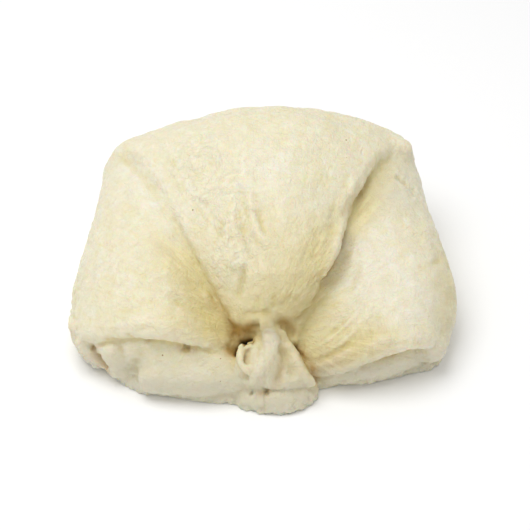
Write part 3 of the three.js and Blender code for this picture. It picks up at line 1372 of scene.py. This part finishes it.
@dataclass(frozen=True)
class DoughFinish:
    """The look of raw dough: cream, a little clear, darker and yellower in its folds by painted
    shade, paler on its humps.

    A share says how much of a colour is mixed in where its pattern or mark is full. Heights and
    sizes are in millimetres.
    """

    cream: Colour = (0.815, 0.76, 0.555)
    pale: Colour = (0.86, 0.825, 0.69)
    # Pale for floury dust, also used as painted highlight.
    flour_and_highlight: Colour = (0.85, 0.825, 0.735)
    damp: Colour = (0.72, 0.67, 0.485)
    butter: Colour = (0.79, 0.705, 0.37)
    # Darker yellow for moist threads, also used as painted warm shade in hollows, broad folds and
    # around the pinch.
    moist: Colour = (0.72, 0.60, 0.25)
    # Yellow for those patches: partly the dough's moist colour, partly painted shade.
    stain_and_shade: Colour = (0.63, 0.52, 0.225)
    # Painted shade: brown deep in folds, and near-black in the deepest pockets.
    fold: Colour = (0.42, 0.225, 0.03)
    well: Colour = (0.10, 0.04, 0.008)
    # Painted shade: greyer and darker, for the low front faces and shaded patches.
    dry: Colour = (0.65, 0.615, 0.495)
    bran: Colour = (0.34, 0.22, 0.09)

    pale_lumps: Lumps = Lumps(5, 4, 0.65, 0.8)
    pale_ramp: Ramp = Ramp(0.44, 0.72)
    pale_share: float = 0.7
    butter_lumps: Lumps = Lumps(2.6, 4, 0.6, 0.6)
    butter_ramp: Ramp = Ramp(0.46, 0.68)
    butter_share: float = 0.35
    damp_lumps: Lumps = Lumps(1.6, 4, 0.65, 0.7)
    damp_ramp: Ramp = Ramp(0.46, 0.68, 0, 0.42)

    fibre_colour: Fibres = Fibres(1.0, 4.0, 0.65)
    drawn_colour: Ramp = Ramp(0, 1, 0.22, 0.75)
    moist_fibre: Ramp = Ramp(0.52, 0.70)
    pale_fibre: Ramp = Ramp(0.46, 0.30)
    stain_and_shade_fibre: Ramp = Ramp(0.42, 0.66)
    stain_and_shade_share: float = 0.95
    vein_share: float = 0.35

    hollow_shade_ramp: Ramp = Ramp(0.1, 1.6, 0, 0.5)
    hump_ramp: Ramp = Ramp(-0.1, -1.6, 0, 0.3)
    flour_and_highlight_swing: float = 0.55
    flour_and_highlight_least: float = 0.4
    grey_shade_share: float = 0.7

    pinch_shade_share: float = 0.65
    broad_fold_shade_ramp: Ramp = Ramp(0.06, 0.55, 0, 0.5)
    brown_shade_share: float = 0.9
    fold_shade_ramp: Ramp = Ramp(0.22, 0.75, 0, 0.95)
    well_shade_ramp: Ramp = Ramp(0.48, 0.78, 0, 0.95)

    bran_spacing: float = 3.4
    bran_edge: Ramp = Ramp(0.075, 0.04)
    bran_rareness: float = 0.93

    vein_lumps: Lumps = Lumps(4.2, 3, 0.55, 1.2)
    vein_middle: float = 0.5
    vein_edge: Ramp = Ramp(0, 0.04, 1, 0)
    vein_creased: Ramp = Ramp(0, 0.9, 0.25, 1)
    vein_height: float = 0.1
    grain_lumps: Lumps = Lumps(0.6, 3, 0.6)
    grain_height: float = 0.2
    blister_lumps: Lumps = Lumps(1.9, 3, 0.6, 0.9)
    blister_height: float = 0.5
    fibre_relief: Fibres = Fibres(2.4, 3.0, 0.6)
    drawn_relief: Ramp = Ramp(0, 1, 0.14, 0.42)

    wet_lumps: Lumps = Lumps(4, 3)
    wet_roughness: Ramp = Ramp(0.4, 0.7, 0.56, 0.36)
    shine_lumps: Lumps = Lumps(3, 4, 0.7)
    shine_ramp: Ramp = Ramp(0.5, 0.75, 0, 0.5)
    shine_roughness: float = 0.22
    clearness: float = 0.6
    scatter: Spot = (2.4, 1.4, 0.7)

    def colour(self, wires: Wiring, place: Socket) -> Socket:
        """The dough's colour at each spot.

        Args:
            wires: the material's tree.
            place: where the patterns are read.

        Returns:
            The colour.
        """
        floury = wires.span(wires.lumps(place, self.pale_lumps), self.pale_ramp)
        shade = self.skin(wires, place, floury)
        shade = self.drawn(wires, place, shade)
        shade = self.handled(wires, floury, shade)
        shade = self.folded(wires, shade)
        return self.specked(wires, place, shade)

    def skin(self, wires: Wiring, place: Socket, floury: Socket) -> Socket:
        """Cream skin with pale, buttery and damp patches.

        Args:
            wires: the material's tree.
            place: where the patterns are read.
            floury: the pattern of the pale patches.

        Returns:
            The colour.
        """
        buttery = wires.span(wires.lumps(place, self.butter_lumps), self.butter_ramp)
        damp = wires.span(wires.lumps(place, self.damp_lumps), self.damp_ramp)
        shade = wires.mix(wires.times(floury, self.pale_share), self.cream, self.pale)
        shade = wires.mix(wires.times(buttery, self.butter_share), shade, self.butter)
        return wires.mix(damp, shade, self.damp)

    def drawn(self, wires: Wiring, place: Socket, shade: Socket) -> Socket:
        """Adds moist and pale threads towards the pinch, the thin wrinkles, and yellow patches that
        are partly moist dough and partly painted shade.

        Args:
            wires: the material's tree.
            place: where the patterns are read.
            shade: the colour so far.

        Returns:
            The colour.
        """
        pull = wires.read("pull", "Vector")
        strength = wires.span(self.strength(wires, pull), self.drawn_colour)
        fibre = wires.fibres(pull, self.fibre_colour)
        moist = wires.times(wires.span(fibre, self.moist_fibre), strength)
        pale = wires.times(wires.span(fibre, self.pale_fibre), strength)
        shade = wires.mix(moist, shade, self.moist)
        shade = wires.mix(pale, shade, self.pale)
        shade = wires.mix(wires.times(self.veins(wires, place), self.vein_share), shade, self.pale)
        # The patches' colour, partly painted shade.
        stain_and_shade = wires.mix(wires.span(fibre, self.stain_and_shade_fibre), self.stain_and_shade, self.butter)
        return wires.mix(wires.times(wires.read("stain_and_shade"), self.stain_and_shade_share), shade, stain_and_shade)

    def handled(self, wires: Wiring, floury: Socket, shade: Socket) -> Socket:
        """Adds darker, yellower hollows by painted shade, paler humps, floury dust with painted
        highlights, and painted grey shade.

        Args:
            wires: the material's tree.
            floury: the pattern that breaks up the flour.
            shade: the colour so far.

        Returns:
            The colour.
        """
        dip = wires.read("dip")
        # Painted shade in hollows, and paler on humps.
        shade = wires.mix(wires.span(dip, self.hollow_shade_ramp), shade, self.moist)
        shade = wires.mix(wires.span(dip, self.hump_ramp), shade, self.pale)
        # Floury dust and painted highlight, broken up by the pale pattern.
        broken = wires.calc("MULTIPLY_ADD", floury, self.flour_and_highlight_swing, self.flour_and_highlight_least)
        shade = wires.mix(wires.times(wires.read("flour_and_highlight"), broken), shade, self.flour_and_highlight)
        # Painted shade on the low front faces and shaded patches.
        return wires.mix(wires.times(wires.read("dry"), self.grey_shade_share), shade, self.dry)

    def folded(self, wires: Wiring, shade: Socket) -> Socket:
        """Adds painted shade: warm and brown colours deep in the folds and around the pinch, and
        near-black in the deepest pockets.

        Args:
            wires: the material's tree.
            shade: the colour so far.

        Returns:
            The colour.
        """
        deep = wires.read("shut_in")
        # Painted shade: warmer and darker near the pinch.
        shade = wires.mix(wires.times(wires.read("pinch_shade"), self.pinch_shade_share), shade, self.moist)
        # Painted shade over whole folds.
        shade = wires.mix(wires.span(wires.read("broad_fold_shade"), self.broad_fold_shade_ramp), shade, self.moist)
        # Painted shade: the brown marks.
        shade = wires.mix(wires.times(wires.read("brown"), self.brown_shade_share), shade, self.fold)
        # Painted shade: the more shut in a spot, the browner, then near-black.
        shade = wires.mix(wires.span(deep, self.fold_shade_ramp), shade, self.fold)
        return wires.mix(wires.span(deep, self.well_shade_ramp), shade, self.well)

    def specked(self, wires: Wiring, place: Socket, shade: Socket) -> Socket:
        """Adds the rare specks of bran.

        Args:
            wires: the material's tree.
            place: where the patterns are read.
            shade: the colour so far.

        Returns:
            The colour.
        """
        specks = wires.node("TexVoronoi", {"Vector": place, "Scale": 1 / (self.bran_spacing * MM)})
        dot = wires.span(specks.outputs["Distance"], self.bran_edge)
        chance = wires.node("SeparateColor", {"Color": specks.outputs["Color"]}).outputs["Red"]
        few = wires.calc("GREATER_THAN", chance, self.bran_rareness)
        return wires.mix(wires.times(dot, few), shade, self.bran)

    @staticmethod
    def strength(wires: Wiring, pull: Socket) -> Socket:
        """How strongly the skin is drawn, which the pull carries as its third number."""
        return wires.node("SeparateXYZ", {"Vector": pull}).outputs["Z"]

    def veins(self, wires: Wiring, place: Socket) -> Socket:
        """The thin wrinkles of the skin, strongest where it is creased.

        Args:
            wires: the material's tree.
            place: where the patterns are read.

        Returns:
            A value from 0 to 1.
        """
        lumps = wires.lumps(place, self.vein_lumps)
        away = wires.calc("ABSOLUTE", wires.calc("SUBTRACT", lumps, self.vein_middle))
        creased = wires.span(wires.read("creased"), self.vein_creased)
        return wires.times(wires.span(away, self.vein_edge), creased)

    def height(self, wires: Wiring, place: Socket) -> Socket:
        """The fine relief of the skin, in millimetres.

        Args:
            wires: the material's tree.
            place: where the patterns are read.

        Returns:
            The height.
        """
        pull = wires.read("pull", "Vector")
        strength = wires.span(self.strength(wires, pull), self.drawn_relief)
        grain = wires.times(wires.lumps(place, self.grain_lumps), self.grain_height)
        blister = wires.times(wires.lumps(place, self.blister_lumps), self.blister_height)
        fibre = wires.times(wires.fibres(pull, self.fibre_relief), strength)
        vein = wires.times(self.veins(wires, place), self.vein_height)
        drawn = wires.calc("ADD", fibre, vein)
        return wires.calc("ADD", drawn, wires.calc("ADD", grain, blister))

    def material(self) -> bpy.types.Material:
        """Builds the material.

        Returns:
            The material.
        """
        made = bpy.data.materials.new("raw_dough")
        made.use_nodes = True
        wires = Wiring(made.node_tree)
        shader = made.node_tree.nodes["Principled BSDF"]
        place = wires.node("TexCoord").outputs["Object"]
        wires.feed(shader.inputs["Base Color"], self.colour(wires, place))
        wet = wires.span(wires.lumps(place, self.wet_lumps), self.wet_roughness)
        wires.feed(shader.inputs["Roughness"], wet)
        bump = wires.node("Bump", {
            "Height": self.height(wires, place), "Strength": 1.0, "Distance": MM,
        })
        wires.feed(shader.inputs["Normal"], bump.outputs["Normal"])
        shine = wires.span(wires.lumps(place, self.shine_lumps), self.shine_ramp)
        wires.feed(shader.inputs["Coat Weight"], shine)
        shader.inputs["Coat Roughness"].default_value = self.shine_roughness
        shader.inputs["Subsurface Weight"].default_value = self.clearness
        shader.inputs["Subsurface Radius"].default_value = self.scatter
        shader.inputs["Subsurface Scale"].default_value = MM
        return made


# ---- Studio -------------------------------------------------------------------------------------


@dataclass
class Studio:
    """A pale floor, soft light from above and to the left, and the camera.

    Places and sizes are in metres, angles in degrees, the lens and the sensor in millimetres.
    """

    elevation: float = 42.0
    distance: float = 0.480
    target: Spot = (-0.00075, -0.0011, 0.013)
    sensor: float = 36.0
    lens: float = 132.05
    shift: Span = (0.00755, -0.00566)
    nearest: float = 0.01
    floor_size: float = 2.0
    floor_shade: float = 0.98
    floor_roughness: float = 0.9
    room_light: float = 0.63
    key_place: Spot = (-0.12, -0.03, 0.51)
    key_aim: Spot = (0, 0, 0.01)
    key_size: float = 0.40
    key_power: float = 1.46

    def camera(self) -> None:
        """Looks at the piece from the front and above."""
        data = bpy.data.cameras.new("camera")
        data.sensor_width = self.sensor
        data.lens = self.lens
        data.shift_x, data.shift_y = self.shift
        data.clip_start = self.nearest
        holder = bpy.data.objects.new("camera", data)
        rise = math.radians(self.elevation)
        back = Vector((0, -math.cos(rise), math.sin(rise)))
        holder.location = Vector(self.target) + back * self.distance
        holder.rotation_euler = (-back).to_track_quat("-Z", "Y").to_euler()
        bpy.context.scene.collection.objects.link(holder)
        bpy.context.scene.camera = holder

    def floor(self) -> None:
        """A white sheet that the piece lies on."""
        bm = bmesh.new()
        bmesh.ops.create_grid(bm, x_segments=1, y_segments=1, size=self.floor_size)
        mesh = bpy.data.meshes.new("floor")
        bm.to_mesh(mesh)
        bm.free()
        paper = bpy.data.materials.new("floor")
        paper.use_nodes = True
        shader = paper.node_tree.nodes["Principled BSDF"]
        shader.inputs["Base Color"].default_value = (*[self.floor_shade] * 3, 1)
        shader.inputs["Roughness"].default_value = self.floor_roughness
        mesh.materials.append(paper)
        floor = bpy.data.objects.new("floor", mesh)
        bpy.context.scene.collection.objects.link(floor)

    def key(self) -> None:
        """A large, round, soft light above and to the left."""
        data = bpy.data.lights.new("key", "AREA")
        data.shape = "DISK"
        data.size = self.key_size
        data.energy = self.key_power
        lamp = bpy.data.objects.new("key", data)
        lamp.location = self.key_place
        aim = Vector(self.key_aim) - lamp.location
        lamp.rotation_euler = aim.to_track_quat("-Z", "Y").to_euler()
        bpy.context.scene.collection.objects.link(lamp)

    def room(self) -> None:
        """A white room, whose light comes from all sides."""
        world = bpy.data.worlds.new("room")
        world.use_nodes = True
        light = world.node_tree.nodes["Background"]
        light.inputs["Color"].default_value = (1, 1, 1, 1)
        light.inputs["Strength"].default_value = self.room_light
        bpy.context.scene.world = world
        bpy.context.scene.view_settings.view_transform = "Standard"


def main() -> None:
    """Makes the studio and the piece."""
    studio = Studio()
    studio.camera()
    studio.floor()
    studio.room()
    studio.key()
    piece = DoughParcel().build()
    piece.data.materials.append(DoughFinish().material())
    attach(piece, "root")
    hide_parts(NODE)
    log.info("%s: %d faces", PIECE, len(piece.data.polygons))


if __name__ == "__main__":
    main()
